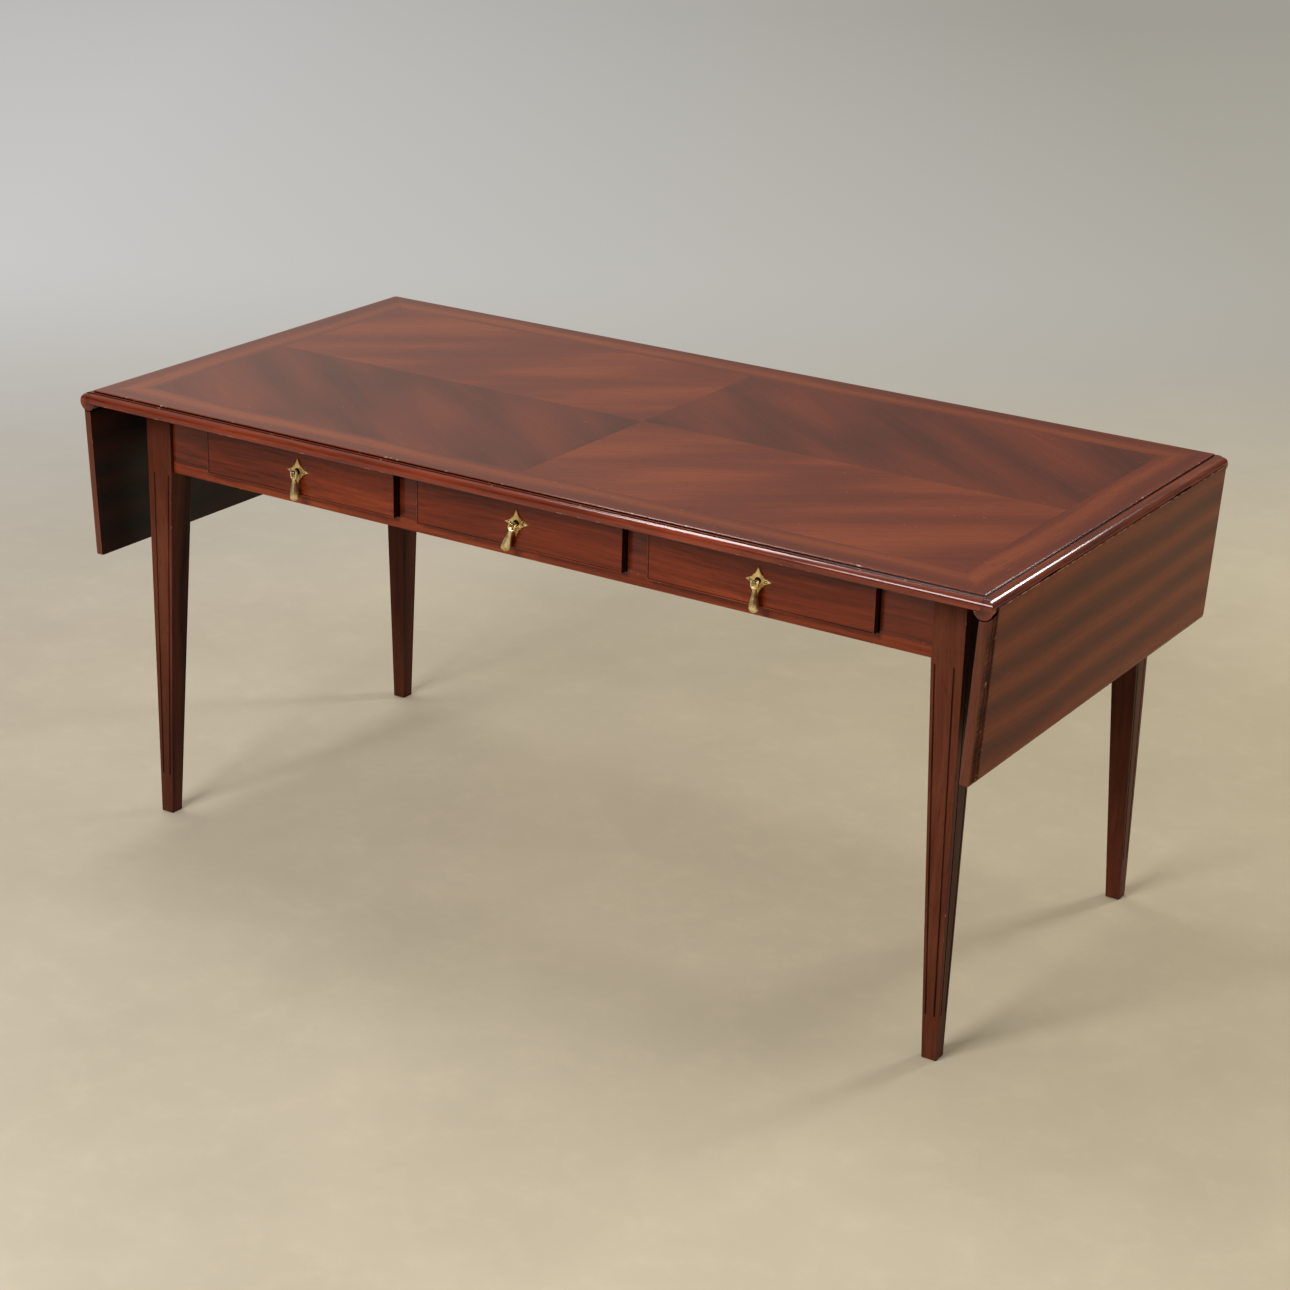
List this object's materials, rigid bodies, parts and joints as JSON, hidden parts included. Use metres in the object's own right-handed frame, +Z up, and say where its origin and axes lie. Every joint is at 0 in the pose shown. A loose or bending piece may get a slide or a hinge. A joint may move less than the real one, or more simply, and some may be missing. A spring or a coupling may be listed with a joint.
{
  "type": "drop-leaf coffee table",
  "caption": "Low drop-leaf table: a veneered top with hinged leaves that hang at its ends, drawers with brass drop pulls in the frieze, and square tapered fluted legs.",
  "frame": {"origin": "on the floor, under the middle of the top", "axes": "+X along the table towards the right leaf, +Y from the drawer fronts to the back, +Z up"},
  "size_m": [1.2022, 0.5996, 0.55],
  "materials": {
    "mahogany_veneer": "figured mahogany veneer under semi-gloss lacquer",
    "mahogany_solid": "straight-grained mahogany under semi-gloss lacquer",
    "drawer_lining": "bare pale hardwood",
    "aged_brass": "aged brass, worn bright on its high parts"
  },
  "bodies": {
    "carcass": {"top_panel": "mahogany_veneer", "front_edge_moulding": "mahogany_solid", "back_edge_moulding": "mahogany_solid", "left_joint_strip": "mahogany_solid", "right_joint_strip": "mahogany_solid", "front_left_leg": "mahogany_solid", "front_right_leg": "mahogany_solid", "back_right_leg": "mahogany_solid", "back_left_leg": "mahogany_solid", "front_bottom_rail": "mahogany_solid", "front_top_rail": "mahogany_solid", "back_rail": "mahogany_veneer", "left_drawer_stile": "mahogany_solid", "right_drawer_stile": "mahogany_solid", "left_end_stile": "mahogany_solid", "right_end_stile": "mahogany_solid", "left_end_rail": "mahogany_veneer", "right_end_rail": "mahogany_veneer", "left_middle_runner": "drawer_lining", "right_middle_runner": "drawer_lining", "left_end_runner": "drawer_lining", "right_end_runner": "drawer_lining", "left_front_hinge_top_flap": "aged_brass", "left_back_hinge_top_flap": "aged_brass", "right_front_hinge_top_flap": "aged_brass", "right_back_hinge_top_flap": "aged_brass"},
    "left_leaf_unit": {"left_leaf": "mahogany_veneer", "left_front_hinge_leaf_flap": "aged_brass", "left_back_hinge_leaf_flap": "aged_brass"},
    "right_leaf_unit": {"right_leaf": "mahogany_veneer", "right_front_hinge_leaf_flap": "aged_brass", "right_back_hinge_leaf_flap": "aged_brass"},
    "left_bearer_unit": {"left_bearer": "drawer_lining"},
    "right_bearer_unit": {"right_bearer": "drawer_lining"},
    "left_drawer_unit": {"left_drawer_front": "mahogany_veneer", "left_drawer_left_side": "drawer_lining", "left_drawer_right_side": "drawer_lining", "left_drawer_back": "drawer_lining", "left_drawer_bottom": "drawer_lining", "left_pull_plate": "aged_brass", "left_pull_post": "aged_brass"},
    "centre_drawer_unit": {"centre_drawer_front": "mahogany_veneer", "centre_drawer_left_side": "drawer_lining", "centre_drawer_right_side": "drawer_lining", "centre_drawer_back": "drawer_lining", "centre_drawer_bottom": "drawer_lining", "centre_pull_plate": "aged_brass", "centre_pull_post": "aged_brass"},
    "right_drawer_unit": {"right_drawer_front": "mahogany_veneer", "right_drawer_left_side": "drawer_lining", "right_drawer_right_side": "drawer_lining", "right_drawer_back": "drawer_lining", "right_drawer_bottom": "drawer_lining", "right_pull_plate": "aged_brass", "right_pull_post": "aged_brass"},
    "left_drop_unit": {"left_pull_drop": "aged_brass"},
    "centre_drop_unit": {"centre_pull_drop": "aged_brass"},
    "right_drop_unit": {"right_pull_drop": "aged_brass"}
  },
  "joints": [
    {"name": "left_leaf_hinge", "type": "hinge", "parent": "carcass", "child": "left_leaf_unit", "pos_m": [-0.588, 0, 0.537], "axis": [0, 1, 0], "range_deg": [-8, 92.9]},
    {"name": "right_leaf_hinge", "type": "hinge", "parent": "carcass", "child": "right_leaf_unit", "pos_m": [0.588, 0, 0.537], "axis": [0, -1, 0], "range_deg": [-8, 92.9]},
    {"name": "left_drawer_slide", "type": "slide", "parent": "carcass", "child": "left_drawer_unit", "axis": [0, -1, 0], "range_m": [0, 0.3]},
    {"name": "centre_drawer_slide", "type": "slide", "parent": "carcass", "child": "centre_drawer_unit", "axis": [0, -1, 0], "range_m": [0, 0.3]},
    {"name": "right_drawer_slide", "type": "slide", "parent": "carcass", "child": "right_drawer_unit", "axis": [0, -1, 0], "range_m": [0, 0.3]},
    {"name": "left_drop_hinge", "type": "hinge", "parent": "left_drawer_unit", "child": "left_drop_unit", "pos_m": [-0.308, -0.2592, 0.4934], "axis": [-1, 0, 0], "range_deg": [-4, 85]},
    {"name": "centre_drop_hinge", "type": "hinge", "parent": "centre_drawer_unit", "child": "centre_drop_unit", "pos_m": [0, -0.2592, 0.4934], "axis": [-0.9455, 0, 0.3256], "range_deg": [-4, 85]},
    {"name": "right_drop_hinge", "type": "hinge", "parent": "right_drawer_unit", "child": "right_drop_unit", "pos_m": [0.308, -0.2592, 0.4934], "axis": [-1, 0, 0], "range_deg": [-4, 85]},
    {"name": "left_bearer_slide", "type": "slide", "parent": "carcass", "child": "left_bearer_unit", "axis": [-1, 0, 0], "range_m": [0, 0.036]},
    {"name": "right_bearer_slide", "type": "slide", "parent": "carcass", "child": "right_bearer_unit", "axis": [1, 0, 0], "range_m": [0, 0.036]}
  ]
}
